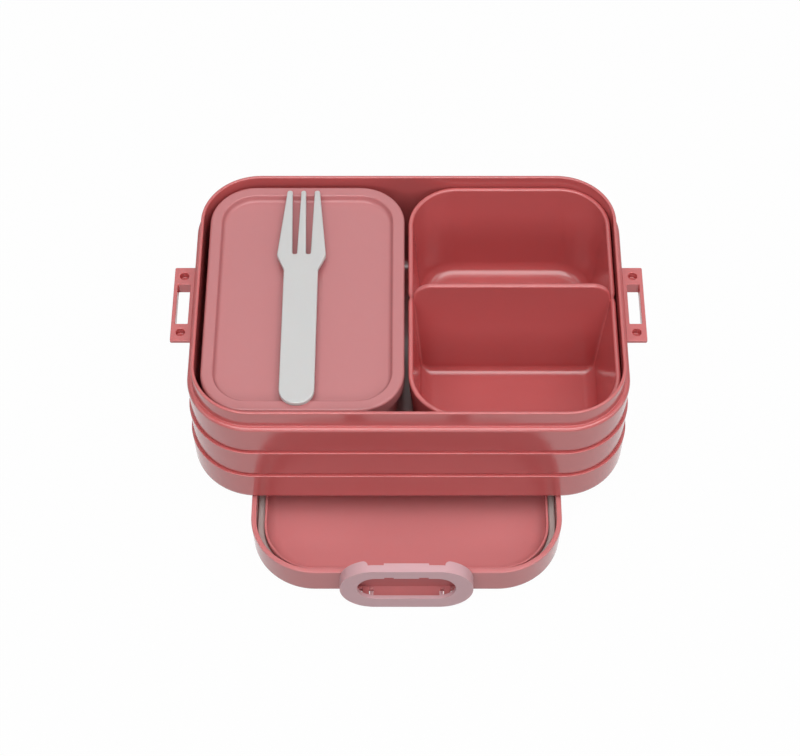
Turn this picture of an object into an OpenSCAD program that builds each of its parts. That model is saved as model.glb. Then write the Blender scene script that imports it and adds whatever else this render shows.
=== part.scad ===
// Bento lunch box with stepped walls, an upturned lid under it, two lid clips,
// a small box with its own lid, a divided tray and a fork.
//
// Origin: on the face that the lid stands on, below the middle of the base's
// length and of the lid's length. The lid lies upside down with its length
// along Y. The base stands across it, with its length along X. Z is up and all
// lengths are millimetres.

/* [Base box] */
// Length of the base over its top ledge
base_l = 168; // [150:1:200]
// Width of the base over its top ledge
base_w = 120; // [105:1:150]
// Height of the base, floor to rim
base_h = 55.5; // [48:0.5:80]
// Corner radius of the top ledge, seen from above
base_r = 25; // [22:0.5:32]
// Thickness of the base's floor
base_floor = 2.2; // [1.6:0.1:3.5]
// Radius of the edge between the base's wall and its underside
base_foot_r = 4.5; // [2:0.1:7]
// Radius of the fillet between wall and floor inside the base
base_fillet_r = 4; // [2:0.5:6]
// How much narrower the inside gets towards the floor, on each side
base_draft = 0.7; // [0.2:0.1:1.5]

/* [Rim and ledges] */
// Height of the plain rim above the top ledge
rim_h = 8; // [6:0.5:12]
// Thickness of the rim's wall
rim_t = 1.3; // [1.1:0.1:1.8]
// Width of the top ledge, from the rim out
ledge_w = 2; // [1.8:0.1:3]
// Height from one ledge to the next
band_pitch = 15.4; // [12:0.2:20]
// How far each band leans in towards its lower edge
band_lean = 0.6; // [0:0.1:1]
// How far each lower ledge stands out from the band above it
band_step = 0.9; // [0.4:0.1:1.4]
// Height of the shadow groove above each lower ledge
groove_h = 0.8; // [0.4:0.1:1.2]
// Depth of the shadow groove behind the band above it
groove_d = 0.5; // [0.2:0.1:0.8]
// Size of the small chamfer on each ledge's outer edge
ledge_edge = 0.35; // [0.2:0.05:0.5]

/* [Ears] */
// Length of each ear along the base's short side
ear_l = 35.8; // [28:0.2:42]
// How far each ear reaches out from the top ledge
ear_out = 7.7; // [6.5:0.1:10]
// Thickness of the ear's plate
ear_t = 1.4; // [1:0.1:2.5]
// Drop of the ear's top below the top ledge
ear_drop = 1; // [0:0.1:2]
// Length of the slot in the ear
ear_slot_l = 19.2; // [12:0.2:22]
// Width of the slot in the ear
ear_slot_w = 4.9; // [4.2:0.1:6]
// Distance from the slot to the ear's outer edge
ear_slot_edge = 1.5; // [1.4:0.1:2]
// Depth of the sleeve around the slot, from the ear's top
ear_sleeve_h = 5.2; // [3:0.1:6]
// Thickness of the sleeve's wall
ear_sleeve_t = 1.2; // [0.8:0.1:1.3]
// Distance between the two round pockets in an ear
ear_pocket_pitch = 27.4; // [26:0.2:29]
// Diameter of each round pocket
ear_pocket_d = 3.5; // [2.5:0.1:4]
// Depth of each round pocket
ear_pocket_h = 2.4; // [1:0.1:2.8]
// Wall around and under each round pocket
ear_pocket_t = 0.9; // [0.7:0.1:1.2]

/* [Main lid] */
// Height of the lid, outside face to skirt edge
lid_h = 15; // [13:0.5:20]
// Thickness of the lid's plate
lid_t = 2; // [1.5:0.1:3]
// How far the lid stands out past the base's top ledge, on each side
lid_over = 0.3; // [0:0.05:0.6]
// How far the lid's wall leans in towards its outside face
lid_lean = 0.6; // [0:0.1:1.2]
// Radius of the edge around the lid's outside face
lid_edge_r = 2.5; // [1:0.5:4]
// Free space between the lid's skirt and the base's rim
lid_gap = 0.3; // [0.2:0.05:0.6]
// Height that the inner lip stands above the seal's top
lip_rise = 2.2; // [1:0.1:4]
// Thickness of the inner lip
lip_t = 1; // [0.8:0.1:1.5]
// Radius of the fillet between the lip and the lid's plate
lid_fillet_r = 5; // [2:0.5:7]

/* [Seal] */
// Width of the seal in the lid's groove
seal_w = 2.7; // [1.8:0.1:3]
// Height of the seal
seal_h = 3; // [2:0.1:4]
// How far the rim presses into the seal when the lid is shut
seal_squeeze = 0.4; // [0.2:0.1:0.8]
// Free space on each side of the seal
seal_gap = 0.1; // [0.05:0.05:0.3]

/* [Clips] */
// Length of the clip
clip_l = 50.8; // [46:0.2:60]
// Height of the clip
clip_h = 26.4; // [25:0.2:30]
// Depth of the clip's outer wall
clip_t = 3; // [2.6:0.1:4]
// Thickness of the clip's front wall
clip_wall = 1.5; // [1.2:0.1:2]
// Width of the raised edge round the clip's back
clip_edge = 2.5; // [2:0.1:3.5]
// Distance from the lid's edge to the clip's outer face
clip_out = 6.4; // [6.2:0.1:8]
// Height of the bar beside the hinge
clip_hinge_bar = 6.3; // [5.6:0.1:8]
// Height of the bar at the free end
clip_free_bar = 5; // [4:0.1:6.5]
// Width of the ring at its two round ends
clip_side = 6.6; // [5.5:0.1:8]
// Free space between the thick cheeks and the lid's edge
clip_cheek_gap = 1.3; // [0.8:0.1:1.8]
// Half the distance between the two cheeks
clip_cheek_x = 14.6; // [13.6:0.1:16]
// Length of the catch on the free bar
catch_l = 17; // [10:0.5:18]
// How far the catch stands out behind the free bar
catch_t = 0.8; // [0.5:0.1:1.2]
// Length of each relief notch in the free bar
notch_l = 3.6; // [2:0.1:5]
// Height of each relief notch
notch_h = 0.8; // [0.4:0.1:1.2]
// Distance from the clip's middle to each relief notch
notch_x = 6.6; // [5:0.1:9]

/* [Hinges] */
// Distance from the clip's middle to each hinge arm
arm_x = 15.7; // [13:0.1:15.9]
// Length of each hinge arm along the hinge
arm_w = 2.6; // [2:0.1:2.8]
// Radius of the hinge arm's round end
arm_r = 1.7; // [1.6:0.05:1.8]
// Diameter of the hinge pin
pin_d = 1.8; // [1.4:0.05:2]
// Free space all round the pin in its hole
pin_gap = 0.08; // [0.05:0.01:0.1]
// Height of the hinge pin above the lid's outside face
pin_z = 2.8; // [2.6:0.05:3.2]
// Free space between the arm and its pocket in the clip
arm_gap = 0.3; // [0.25:0.05:0.4]
// Thickness of the clip's wall in front of each pocket
pocket_t = 1; // [0.8:0.1:1.3]
// Wall of the knuckle on each side of a pocket
knuckle_t = 1.2; // [1:0.1:1.6]
// Radius of the knuckle round the pin
knuckle_r = 2.2; // [2:0.1:2.5]

/* [Tray] */
// Width of the tray's rim along the base's length
tray_w = 80.3; // [65:0.1:95]
// Drop of the tray's rim below the base's rim
tray_drop = 4.8; // [3:0.1:12]
// Free space between the tray's rim and the base's wall
tray_gap = 0.6; // [0.4:0.1:2]
// Corner radius of the tray's rim
tray_r = 20; // [14:0.5:21]
// Thickness of the tray's wall
tray_t = 1.9; // [1.4:0.1:2.5]
// Thickness of the tray's floor
tray_floor = 2.2; // [1.4:0.1:3]
// How far the tray's wall leans in towards its floor
tray_draft = 3.6; // [1.5:0.1:5]
// Radius of the fillet between wall and floor inside the tray
tray_fillet_r = 5; // [2:0.5:7]
// Thickness of the divider at its top
divider_t = 2.1; // [1.4:0.1:3]
// Extra thickness of the divider at its foot
divider_draft = 0.6; // [0:0.1:1.5]
// Height of the divider above the tray's rim
divider_rise = 7.6; // [3:0.1:8]
// Radius of the fillet between the divider and the tray's floor
divider_fillet_r = 3; // [1:0.5:4]
// Distance of the divider's front face from the middle of the tray
divider_y = -0.8; // [-15:0.1:15]
// Length of the crease in the tray's wall where the divider meets it
crease_l = 4; // [2:0.2:6]
// Depth of the crease
crease_d = 0.6; // [0.3:0.1:0.9]

/* [Small box] */
// Free space between the small box's lid and the base's wall
small_gap = 2.2; // [1:0.1:4]
// Free space between the small box's lid and the tray
middle_gap = 1.4; // [0.8:0.1:3]
// Drop of the small lid's top below the base's rim
small_drop = 3; // [2.5:0.5:8]
// Corner radius of the small lid
small_r = 18; // [12:0.5:20]
// Thickness of the small box's wall
small_t = 1.5; // [1.2:0.1:2]
// Thickness of the small box's floor
small_floor = 2; // [1.4:0.1:3]
// How far the small box's wall leans in towards its floor
small_draft = 3; // [1.5:0.1:5]
// Radius of the fillet between wall and floor inside the small box
small_fillet_r = 5; // [2:0.5:7]

/* [Small lid] */
// Thickness of the small lid's plate
cap_t = 1.4; // [1:0.1:2]
// Depth of the skirt around the small box
cap_skirt_h = 6; // [4:0.5:9]
// Thickness of the skirt
cap_skirt_t = 1.3; // [1:0.1:2]
// Free space between the small lid and the small box's wall
cap_gap = 0.3; // [0.2:0.05:0.5]
// Thickness of the wall around the sunken panel
cap_plug_t = 1.2; // [0.8:0.1:2]
// Depth of the sunken panel below the border
cap_sink = 2.7; // [1:0.1:4]
// Radius of the border's outer edge
cap_edge_r = 1; // [0.4:0.1:1.2]
// Radius of the fillet around the sunken panel
cap_fillet_r = 1.3; // [0.4:0.1:2]

/* [Fork] */
// Distance from the small lid's front edge to the fork's handle
fork_front_gap = 2; // [0:0.1:4]
// Distance from the fork's tips to the small lid's back edge
fork_back_gap = 3.5; // [0:0.1:6]
// Thickness of the fork
fork_t = 2; // [1.4:0.1:2.4]
// Width of the handle
fork_handle_w = 13.3; // [10:0.1:16]
// Greatest width of the head
fork_head_w = 18.5; // [16:0.1:22]
// Distance from tine to tine at the tips
tine_pitch = 5.35; // [4.6:0.05:6.2]
// Width of each tine's tip
tine_tip_w = 1.9; // [1.4:0.1:2.2]
// Length of the slots between the tines
tine_l = 32.4; // [24:0.2:36]
// Width of each slot at its closed end
tine_slot_w = 1.8; // [1.2:0.1:2.2]
// Length of the shoulder between the handle and the slots
neck_l = 7.5; // [4:0.5:12]

/* [Layout] */
// Distance of the base's middle behind the lid's middle
base_y = 9; // [0:0.1:14]
// Distance of the lid's middle to the left of the base's middle
lid_left = 0.8; // [0:0.1:5]
// Distance of the fork to the side of the small lid's middle
fork_x = -1.8; // [-15:0.1:15]

/* [Hidden] */

$fn = 64;
eps = 0.01;       // overlap that lets solids fuse cleanly
far = 400;        // longer than anything here
lap = 1;          // overlap of a wall's foot with the plate inside it
edge_share = 0.32; // rounding of a rim's edges, as a share of its thickness

// Colours
rose = [0.72, 0.42, 0.43];
rose_light = [0.80, 0.52, 0.53];
blush = [0.78, 0.66, 0.69];
seal_grey = [0.60, 0.57, 0.56];
ivory = [0.87, 0.86, 0.84];

// Base: the floor's underside lies on the skirt edge of the upturned lid
base_z = lid_h;
rim_in = ledge_w + rim_t;               // ledge's edge to the rim's inner face
top_ledge_z = base_h - rim_h;
inner_l = base_l - 2 * rim_in;
inner_w = base_w - 2 * rim_in;
inner_r = base_r - rim_in;
band_count = 3;
// inset of ledge k from the top ledge, and its height
function ledge_in(k) = k * (band_lean - band_step);
function ledge_z(k) = top_ledge_z - k * band_pitch;
foot_in = ledge_in(band_count - 1) + band_lean;

// Main lid: the top ledge's outline and a little more, turned a quarter
lid_l = base_l + 2 * lid_over;
lid_w = base_w + 2 * lid_over;
lid_r = base_r + lid_over;
skirt_t = ledge_w + lid_over - lid_gap;
groove_w = seal_w + 2 * seal_gap;
lip_out = skirt_t + groove_w;           // lid's edge to the lip's outer face
lip_in = lip_out + lip_t;
seal_top = lid_h - rim_h + seal_squeeze;
seal_z = seal_top - seal_h;
lip_z = seal_top + lip_rise;

// Clips: the free bar closes under the ear, so the hole clears the ear
clip_hole_h = clip_h - clip_hinge_bar - clip_free_bar;
clip_hole_l = clip_l - 2 * clip_side;
clip_back_y = clip_out - clip_t;
pin_y = clip_out - pocket_t - arm_gap - arm_r; // lid's edge to the pin
pocket_w = arm_w + 2 * arm_gap;

// Ears
ear_z = top_ledge_z - ear_drop;
ear_slot_x = base_l / 2 + ear_out - ear_slot_edge - ear_slot_w;

// Tray and small box stand side by side on the base's floor
tray_l = inner_w - 2 * tray_gap;
tray_x = inner_l / 2 - tray_gap - tray_w / 2;
floor_z = base_z + base_floor;
tray_h = base_h - base_floor - tray_drop;
cap_w = inner_l - tray_w - tray_gap - middle_gap - small_gap;
cap_l = inner_w - 2 * small_gap;
small_x = -inner_l / 2 + small_gap + cap_w / 2;
cap_z = base_z + base_h - small_drop;   // top of the small lid's border
small_h = cap_z - cap_t - floor_z;
box_in = cap_skirt_t + cap_gap;         // small lid's edge to the small box's rim
border_w = box_in + small_t + cap_gap + cap_plug_t;
panel_r = min(cap_fillet_r, cap_sink / 2);

// Fork, lying on the small lid's border from the front to the back
fork_l = cap_l - fork_front_gap - fork_back_gap;
fork_y = base_y - cap_l / 2 + fork_front_gap;   // handle's end
slot_y = fork_l - tine_l;               // closed end of the slots
slot_x = tine_pitch / 2;                // middle of a slot
neck_steps = 12;                        // straight steps along the shoulder

// ---- shared 2D shapes -------------------------------------------------

// Rounded rectangle centred on the origin
module rounded(l, w, r) {
    square([l - 2 * r, w], center = true);
    square([l, w - 2 * r], center = true);
    for (x = [-1, 1], y = [-1, 1])
        translate([x * (l / 2 - r), y * (w / 2 - r)]) circle(r);
}

// Slot shape with round ends, centred on the origin
module stadium(l, h) {
    square([l - h, h], center = true);
    for (x = [-1, 1]) translate([x * (l - h) / 2, 0]) circle(d = h);
}

// What lies between a corner at the origin and a circle of radius r that
// touches both its sides; sx and sy point from the corner to the circle
module spandrel(r, sx, sy) {
    difference() {
        translate([sx > 0 ? -eps : -r, sy > 0 ? -eps : -r])
            square(r + eps);
        translate([sx * r, sy * r]) circle(r);
    }
}

// ---- shared solids ----------------------------------------------------

// Carries a wall profile round a rounded rectangle. In the profile x is the
// distance out from the rectangle's edge and y is the height.
module round_wall(l, w, r) {
    for (q = [0:3]) rotate([0, 0, 90 * q]) {
        a = q % 2 == 0 ? l : w;
        b = q % 2 == 0 ? w : l;
        translate([a / 2 - r, b / 2 - r, 0])
            rotate_extrude(angle = 90) translate([r, 0]) children();
        rotate([90, 0, 0])
            linear_extrude(b - 2 * r, center = true)
                translate([a / 2, 0]) children();
    }
}

// Flat plate that fills such a wall's inside, out to inset k from the edge
module plate(l, w, r, k, t) {
    linear_extrude(t) rounded(l - 2 * k, w - 2 * k, r - k);
}

// Wall profile of an open tub: outer and inner faces lean in by draft, the
// foot and the inside corner are rounded and so are both edges of the rim
module tub_profile(h, t, floor_t, draft, r_in) {
    r_foot = r_in + 1;
    r_rim = t * edge_share;
    reach = draft + t + r_in + lap;     // how far the floor part goes in
    difference() {
        union() {
            polygon([[0, h], [-t, h], [-t - draft, floor_t], [-reach, floor_t],
                     [-reach, 0], [-draft, 0]]);
            translate([-t - draft, floor_t]) spandrel(r_in, -1, 1);
        }
        translate([-draft, 0]) spandrel(r_foot, -1, 1);
        translate([0, h]) spandrel(r_rim, -1, -1);
        translate([-t, h]) spandrel(r_rim, 1, -1);
    }
}

module tub(l, w, r, h, t, floor_t, draft, r_in) {
    round_wall(l, w, r) tub_profile(h, t, floor_t, draft, r_in);
    plate(l, w, r, draft + t + r_in, floor_t);
}

// ---- base box -----------------------------------------------------------

// Outer edge of the base's wall from the rim down to the foot, as a list of
// [x, y] points: each band, the groove under it and the ledge below
function band_points(k) = [
    [-ledge_in(k) - ledge_edge, ledge_z(k)],
    [-ledge_in(k), ledge_z(k) - ledge_edge],
    if (k < band_count - 1) each [
        [-ledge_in(k) - band_lean, ledge_z(k + 1) + groove_h],
        [-ledge_in(k) - band_lean - groove_d, ledge_z(k + 1) + groove_h],
        [-ledge_in(k) - band_lean - groove_d, ledge_z(k + 1)]]
];

module base_profile() {
    foot_reach = rim_in + base_draft + base_fillet_r + lap;
    r_rim = rim_t * edge_share;
    difference() {
        union() {
            polygon(concat(
                [[-rim_in, base_h], [-ledge_w, base_h], [-ledge_w, top_ledge_z]],
                [for (k = [0:band_count - 1]) each band_points(k)],
                [[-foot_in, 0], [-foot_reach, 0], [-foot_reach, base_floor],
                 [-rim_in - base_draft, base_floor]]));
            translate([-rim_in - base_draft, base_floor])
                spandrel(base_fillet_r, -1, 1);
        }
        translate([-foot_in, 0]) spandrel(base_foot_r, -1, 1);
        translate([-ledge_w, base_h]) spandrel(r_rim, -1, -1);
        translate([-rim_in, base_h]) spandrel(r_rim, 1, -1);
    }
}

// Ear at the +X end: a thin plate with a slot in a deep sleeve and two
// blind round pockets in short bosses
module ear() {
    root = 2;                           // how far the ear reaches into the wall
    x0 = base_l / 2 - root;
    x_end = base_l / 2 + ear_out;
    pocket_x = base_l / 2 + ear_out / 2;
    boss_d = ear_pocket_d + 2 * ear_pocket_t;
    difference() {
        union() {
            translate([x0, -ear_l / 2, ear_z - ear_t])
                cube([x_end - x0, ear_l, ear_t]);
            translate([x0, -ear_slot_l / 2 - ear_sleeve_t, ear_z - ear_sleeve_h])
                cube([ear_slot_x + ear_slot_w + ear_sleeve_t - x0,
                      ear_slot_l + 2 * ear_sleeve_t, ear_sleeve_h]);
            for (s = [-1, 1])
                translate([pocket_x, s * ear_pocket_pitch / 2,
                           ear_z - ear_pocket_h - ear_pocket_t])
                    cylinder(d = boss_d, h = ear_pocket_h + ear_pocket_t);
        }
        translate([ear_slot_x, -ear_slot_l / 2, ear_z - far / 2])
            cube([ear_slot_w, ear_slot_l, far]);
        for (s = [-1, 1])
            translate([pocket_x, s * ear_pocket_pitch / 2, ear_z - ear_pocket_h])
                cylinder(d = ear_pocket_d, h = far);
    }
}

module base_box() {
    color(rose) translate([0, base_y, base_z]) {
        round_wall(base_l, base_w, base_r) base_profile();
        plate(base_l, base_w, base_r, rim_in + base_draft + base_fillet_r,
              base_floor);
        for (turn = [0, 180]) rotate([0, 0, turn]) ear();
    }
}

// ---- main lid and seal ----------------------------------------------------

module lid_profile() {
    reach = lip_in + lid_fillet_r + lap;
    r_top = lip_t * edge_share;
    difference() {
        union() {
            polygon([[0, lid_h], [-skirt_t, lid_h], [-skirt_t, seal_z],
                     [-lip_out, seal_z], [-lip_out, lip_z], [-lip_in, lip_z],
                     [-lip_in, lid_t], [-reach, lid_t], [-reach, 0],
                     [-lid_lean, 0]]);
            translate([-lip_in, lid_t]) spandrel(lid_fillet_r, -1, 1);
        }
        translate([-lid_lean, 0]) spandrel(lid_edge_r, -1, 1);
        translate([0, lid_h]) spandrel(r_top, -1, -1);
        translate([-skirt_t, lid_h]) spandrel(r_top, 1, -1);
        translate([-lip_out, lip_z]) spandrel(r_top, -1, -1);
        translate([-lip_in, lip_z]) spandrel(r_top, 1, -1);
    }
}

// Two arms at the lid's -Y end, each with a hole for a clip's pin
module hinge_arms() {
    for (s = [-1, 1])
        translate([s * arm_x - arm_w / 2, -lid_l / 2, 0])
            rotate([90, 0, 90]) linear_extrude(arm_w) difference() {
                union() {
                    translate([-pin_y, pin_z]) circle(arm_r);
                    translate([-pin_y, pin_z - arm_r])
                        square([pin_y + ledge_w, 2 * arm_r]);
                }
                translate([-pin_y, pin_z]) circle(pin_d / 2 + pin_gap);
            }
}

module main_lid() {
    color(rose) translate([-lid_left, 0, 0]) {
        round_wall(lid_w, lid_l, lid_r) lid_profile();
        plate(lid_w, lid_l, lid_r, lip_in + lid_fillet_r, lid_t);
        for (turn = [0, 180]) rotate([0, 0, turn]) hinge_arms();
    }
}

// Soft ring with a round bead on top, in the groove behind the skirt
module lid_seal() {
    bead_z = seal_top - seal_w / 2;
    color(seal_grey) translate([-lid_left, 0, 0])
        round_wall(lid_w, lid_l, lid_r)
            translate([-skirt_t - seal_gap - seal_w / 2, 0]) {
                translate([-seal_w / 2, seal_z])
                    square([seal_w, bead_z - seal_z]);
                translate([0, bead_z]) circle(d = seal_w);
            }
}

// ---- clips ---------------------------------------------------------------

// Ring clip at the lid's -Y end. It stands on edge with its hinge low, its
// flat face out and its thick cheeks and catch towards the lid. Below the free
// bar its back is hollow, with a raised edge all round.
module clip() {
    hole_z = clip_hinge_bar + clip_hole_h / 2;
    pocket_y = pin_y + arm_r + arm_gap;
    pocket_top = pin_z + max(knuckle_r, arm_r + arm_gap) + eps;
    pin_lap = knuckle_t / 2;            // a pin's end inside the knuckle
    difference() {
        union() {
            difference() {
                union() {
                    ring_slab(clip_back_y, clip_out);
                    cheeks();
                }
                intersection() {
                    ring_slab(0, clip_out - clip_wall, clip_edge);
                    translate([-clip_l / 2, -clip_out, 0])
                        cube([clip_l, clip_out, clip_h - clip_free_bar]);
                }
            }
            knuckles();
            translate([-catch_l / 2, -clip_back_y - eps,
                       clip_h - clip_free_bar])
                cube([catch_l, catch_t + eps, clip_free_bar]);
        }
        translate([0, 0, hole_z]) rotate([90, 0, 0])
            linear_extrude(far, center = true)
                stadium(clip_hole_l, clip_hole_h);
        for (s = [-1, 1]) {
            translate([s * notch_x - notch_l / 2, -far / 2,
                       clip_h - clip_free_bar - eps])
                cube([notch_l, far, notch_h + eps]);
            translate([s * arm_x - pocket_w / 2, -pocket_y, -eps])
                cube([pocket_w, pocket_y, pocket_top]);
        }
    }
    for (s = [-1, 1])
        translate([s * arm_x - pocket_w / 2 - pin_lap, -pin_y, pin_z])
            rotate([0, 90, 0]) cylinder(d = pin_d, h = pocket_w + 2 * pin_lap);
}

// The clip's outline, made smaller by inset all round, between two distances
// out from the lid's edge
module ring_slab(near, out, inset = 0) {
    translate([0, -near, clip_h / 2]) rotate([90, 0, 0])
        linear_extrude(out - near)
            stadium(clip_l - 2 * inset, clip_h - 2 * inset);
}

// Thick cheeks at the clip's two ends, from just above the pins up, whose
// inner ends run into the free bar's back in a quarter circle
module cheeks() {
    above_pin = 0.5;                    // start of the cheeks above the pin
    cheek_r = clip_back_y - clip_cheek_gap;
    intersection() {
        ring_slab(clip_cheek_gap, clip_out);
        for (s = [0, 1]) mirror([s, 0, 0])
            translate([clip_cheek_x, 0, pin_z + above_pin])
                linear_extrude(clip_h)
                difference() {
                    translate([0, -clip_out]) square([clip_l / 2, clip_out]);
                    translate([0, -clip_cheek_gap])
                        spandrel(cheek_r, 1, -1);
                }
    }
}

// Round knuckles behind the front wall that carry the pins
module knuckles() {
    knuckle_l = pocket_w + 2 * knuckle_t;
    reach = clip_out - clip_wall / 2 - pin_y;   // into the front wall
    intersection() {
        ring_slab(0, clip_out);
        for (s = [-1, 1])
            translate([s * arm_x - knuckle_l / 2, 0, 0])
                rotate([90, 0, 90]) linear_extrude(knuckle_l) {
                    translate([-pin_y, pin_z]) circle(knuckle_r);
                    translate([-pin_y - reach, pin_z - knuckle_r])
                        square([reach, 2 * knuckle_r]);
                }
    }
}

module clip_front() {
    color(blush) translate([-lid_left, -lid_l / 2, 0]) clip();
}

module clip_back() {
    color(blush) translate([-lid_left, lid_l / 2, 0])
        rotate([0, 0, 180]) clip();
}

// ---- small box and its lid -------------------------------------------------

module small_box() {
    color(rose_light) translate([small_x, base_y, floor_z])
        tub(cap_w - 2 * box_in, cap_l - 2 * box_in, small_r - box_in, small_h,
            small_t, small_floor, small_draft, small_fillet_r);
}

// Cap profile: skirt outside the small box's wall, border on its rim, plug
// wall inside it and the edge of the sunken panel
module cap_profile() {
    plug_in = border_w - cap_plug_t;
    under = -cap_sink - cap_t;          // underside of the sunken panel
    reach = border_w + panel_r + lap;
    difference() {
        union() {
            polygon([[0, 0], [0, -cap_skirt_h], [-cap_skirt_t, -cap_skirt_h],
                     [-cap_skirt_t, -cap_t], [-plug_in, -cap_t],
                     [-plug_in, under], [-reach, under], [-reach, -cap_sink],
                     [-border_w, -cap_sink], [-border_w, 0]]);
            translate([-border_w, -cap_sink]) spandrel(panel_r, -1, 1);
        }
        spandrel(cap_edge_r, -1, -1);
        translate([-border_w, 0]) spandrel(panel_r / 2, 1, -1);
    }
}

module small_box_lid() {
    color(rose_light) translate([small_x, base_y, cap_z]) {
        round_wall(cap_w, cap_l, small_r) cap_profile();
        translate([0, 0, -cap_sink - cap_t])
            plate(cap_w, cap_l, small_r, border_w + panel_r, cap_t);
    }
}

// ---- divided tray ------------------------------------------------------------

// Divider seen from the front: it ends inside the tray's side walls, and
// above the rim its corners are quarter circles that start at the wall
module divider_outline() {
    mid = tray_w / 2 - tray_t / 2;      // middle of the wall at the rim
    in = tray_w / 2 - tray_t;           // wall's inner face at the rim
    top = tray_h + divider_rise;
    cut = tray_t * edge_share;          // keeps clear of the rounded rim edge
    difference() {
        union() {
            polygon([[-mid + tray_draft, tray_floor / 2],
                     [mid - tray_draft, tray_floor / 2],
                     [mid, tray_h - cut], [-mid, tray_h - cut]]);
            translate([-in, tray_h - cut - eps])
                square([2 * in, divider_rise + cut + eps]);
        }
        for (s = [-1, 1]) translate([s * in, top])
            spandrel(divider_rise, -s, -1);
    }
}

// Divider seen from the side, thicker towards its foot
module divider_section() {
    top = tray_h + divider_rise;
    spread = divider_draft / 2;
    polygon([[divider_y, top], [divider_y + divider_t, top],
             [divider_y + divider_t + spread, 0], [divider_y - spread, 0]]);
}

module divider() {
    intersection() {
        rotate([90, 0, 0]) linear_extrude(tray_l, center = true)
            divider_outline();
        rotate([90, 0, 90]) linear_extrude(tray_w, center = true)
            divider_section();
    }
}

// Shallow V down the outside of a side wall, at the divider
module crease() {
    lean = atan(tray_draft / tray_h);
    past = 1;                           // how far the cut starts outside
    half = crease_l / 2 * (crease_d + past) / crease_d;
    translate([tray_w / 2, divider_y + divider_t / 2, tray_h])
        rotate([0, lean, 0]) linear_extrude(far, center = true)
            polygon([[-crease_d, 0], [past, half], [past, -half]]);
}

// Fillets between the divider's foot and the tray's floor
module divider_coves() {
    foot = tray_w / 2 - tray_t - tray_draft;    // wall's foot, inside
    short = 0.1;        // share of the wall's fillet left before the foot
    end = foot - tray_fillet_r * short;
    spread = divider_draft / 2;
    rotate([90, 0, 90]) linear_extrude(2 * end, center = true) {
        translate([divider_y + divider_t + spread, tray_floor])
            spandrel(divider_fillet_r, 1, 1);
        translate([divider_y - spread, tray_floor])
            spandrel(divider_fillet_r, -1, 1);
    }
}

module divided_tray() {
    color(rose) translate([tray_x, base_y, floor_z]) difference() {
        union() {
            tub(tray_w, tray_l, tray_r, tray_h, tray_t, tray_floor, tray_draft,
                tray_fillet_r);
            divider();
            divider_coves();
        }
        for (s = [0, 1]) mirror([s, 0, 0]) crease();
    }
}

// ---- fork ---------------------------------------------------------------------

// Tine that tapers from its root, between x0 and x1, to a round tip at x
module tine(x, x0, x1) {
    tip_r = tine_tip_w / 2;
    polygon([[x0, slot_y - eps], [x1, slot_y - eps],
             [x + tip_r, fork_l - tip_r], [x - tip_r, fork_l - tip_r]]);
    translate([x, fork_l - tip_r]) circle(tip_r);
}

// Fork seen from above, with the handle's end at the origin
module fork_outline() {
    hw = fork_handle_w / 2;
    head = fork_head_w / 2;
    neck_y = slot_y - neck_l;
    slot_r = tine_slot_w / 2;
    // the shoulder widens along a quarter of a sine wave
    shoulder = [for (i = [0:neck_steps]) let (t = i / neck_steps)
        [hw + (head - hw) * sin(90 * t), neck_y + neck_l * t]];
    translate([0, hw]) circle(hw);
    translate([-hw, hw]) square([2 * hw, neck_y - hw + eps]);
    polygon(concat(shoulder, [for (i = [neck_steps:-1:0])
        [-shoulder[i].x, shoulder[i].y]]));
    tine(0, -slot_x + slot_r, slot_x - slot_r);
    for (s = [0, 1]) mirror([s, 0]) {
        tine(tine_pitch, slot_x + slot_r, head);
        // round closed end of the slot
        translate([slot_x, slot_y]) difference() {
            translate([-slot_r - eps, -eps])
                square([tine_slot_w + 2 * eps, slot_r]);
            translate([0, slot_r]) circle(slot_r);
        }
    }
}

module fork() {
    color(ivory)
        translate([small_x + fork_x, fork_y, cap_z])
            linear_extrude(fork_t) fork_outline();
}

base_box();
main_lid();
lid_seal();
clip_front();
clip_back();
small_box();
small_box_lid();
divided_tray();
fork();
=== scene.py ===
import math

import bmesh
import bpy
import numpy as np
from bpy.props import FloatProperty, FloatVectorProperty, PointerProperty
from bpy.types import Operator, Panel, PropertyGroup
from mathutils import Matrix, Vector
from mathutils.geometry import tessellate_polygon


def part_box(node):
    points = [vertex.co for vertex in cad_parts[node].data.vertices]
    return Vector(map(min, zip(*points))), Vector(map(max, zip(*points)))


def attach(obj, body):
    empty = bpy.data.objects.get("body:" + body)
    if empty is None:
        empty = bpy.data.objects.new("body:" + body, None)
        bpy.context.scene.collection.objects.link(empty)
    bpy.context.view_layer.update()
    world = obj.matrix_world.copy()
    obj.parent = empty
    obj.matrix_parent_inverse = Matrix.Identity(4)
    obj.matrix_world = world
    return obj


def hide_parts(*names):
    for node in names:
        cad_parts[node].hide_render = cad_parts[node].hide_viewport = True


bl_info = {
    "name": "Bento lunch box",
    "version": (1, 0, 0),
    "blender": (4, 5, 0),
    "location": "View3D > Sidebar > Lunch box",
    "description": "Builds the visible pieces of a moulded lunch box and its studio",
    "category": "Object",
}

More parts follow.
